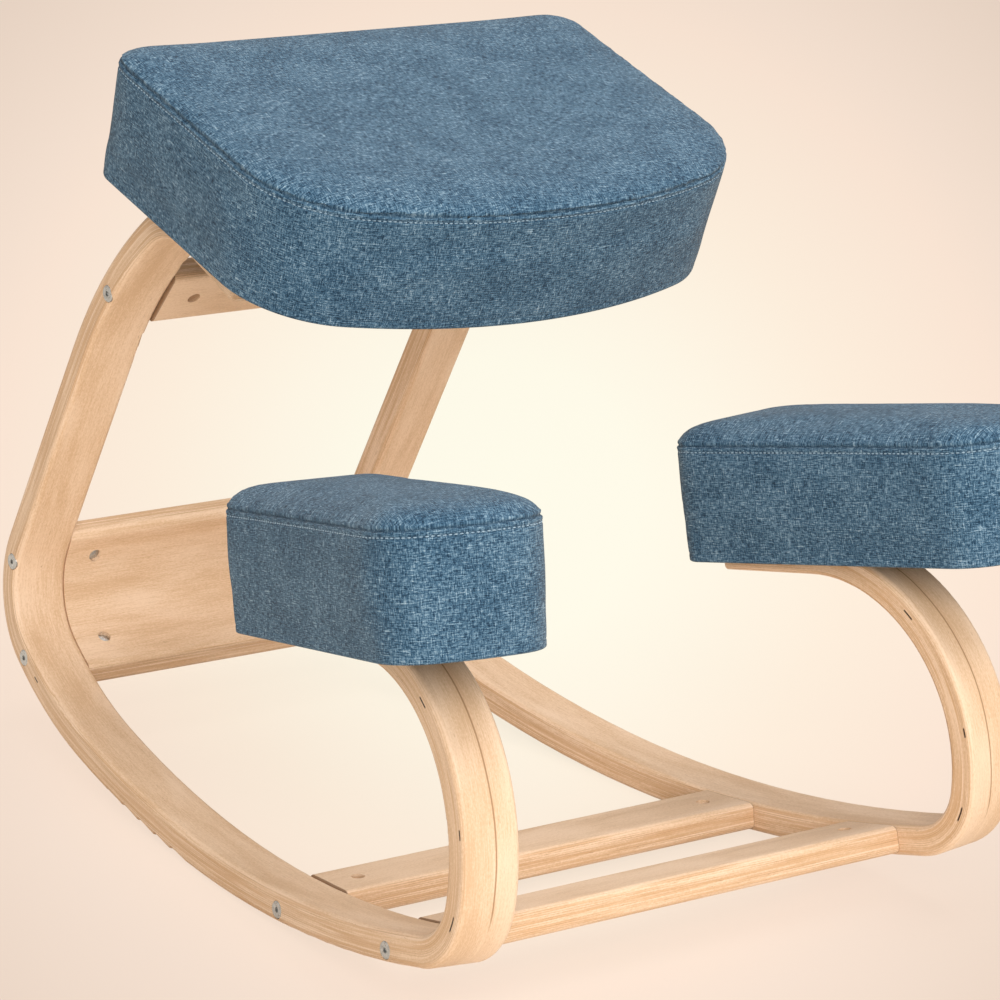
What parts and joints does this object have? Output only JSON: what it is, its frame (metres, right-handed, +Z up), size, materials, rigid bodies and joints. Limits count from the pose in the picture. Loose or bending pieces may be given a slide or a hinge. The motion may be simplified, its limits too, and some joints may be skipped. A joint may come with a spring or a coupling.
{
  "type": "kneeling chair",
  "caption": "Rocking kneeling chair with two bent plywood side rails, crossbars, a bent rear board, a sloping padded seat and two padded knee rests.",
  "frame": {"origin": "bottom centre of the bounding box, on the floor between the two runners", "axes": "+Z up, the knee rests are at the front towards -Y, the seat's rear edge and the bent board are towards +Y, +X to the right of someone facing the chair along +Y"},
  "size_m": [0.6034, 0.7196, 0.5847],
  "materials": {
    "birch": "clear satin lacquer on bent birch plywood, layers showing at the edges",
    "base_board": "raw flat plywood",
    "fabric": "woven slub linen look, blue with lighter threads",
    "foam": "open-cell foam",
    "dust_cloth": "thin black non-woven cloth",
    "steel": "bright zinc"
  },
  "bodies": {
    "root": {"rail_left": "birch", "rail_right": "birch", "top_crossbar": "birch", "rear_lower_crossbar": "birch", "front_lower_crossbar": "birch", "rear_board": "birch", "top_crossbar_bolts": "steel", "top_crossbar_barrel_nuts": "steel", "rear_board_bolts": "steel", "rear_board_barrel_nuts": "steel", "rear_lower_crossbar_bolts": "steel", "rear_lower_crossbar_barrel_nuts": "steel", "front_lower_crossbar_bolts": "steel", "front_lower_crossbar_barrel_nuts": "steel", "seat_board": "base_board", "seat_foam": "foam", "seat_cover": "fabric", "seat_liner": "dust_cloth", "seat_bolts": "steel", "seat_washers": "steel", "seat_tee_nuts": "steel", "knee_left_board": "base_board", "knee_right_board": "base_board", "knee_left_foam": "foam", "knee_right_foam": "foam", "knee_left_cover": "fabric", "knee_right_cover": "fabric", "knee_left_liner": "dust_cloth", "knee_right_liner": "dust_cloth", "knee_left_bolts": "steel", "knee_right_bolts": "steel", "knee_left_washers": "steel", "knee_right_washers": "steel", "knee_left_tee_nuts": "steel", "knee_right_tee_nuts": "steel"}
  },
  "joints": []
}
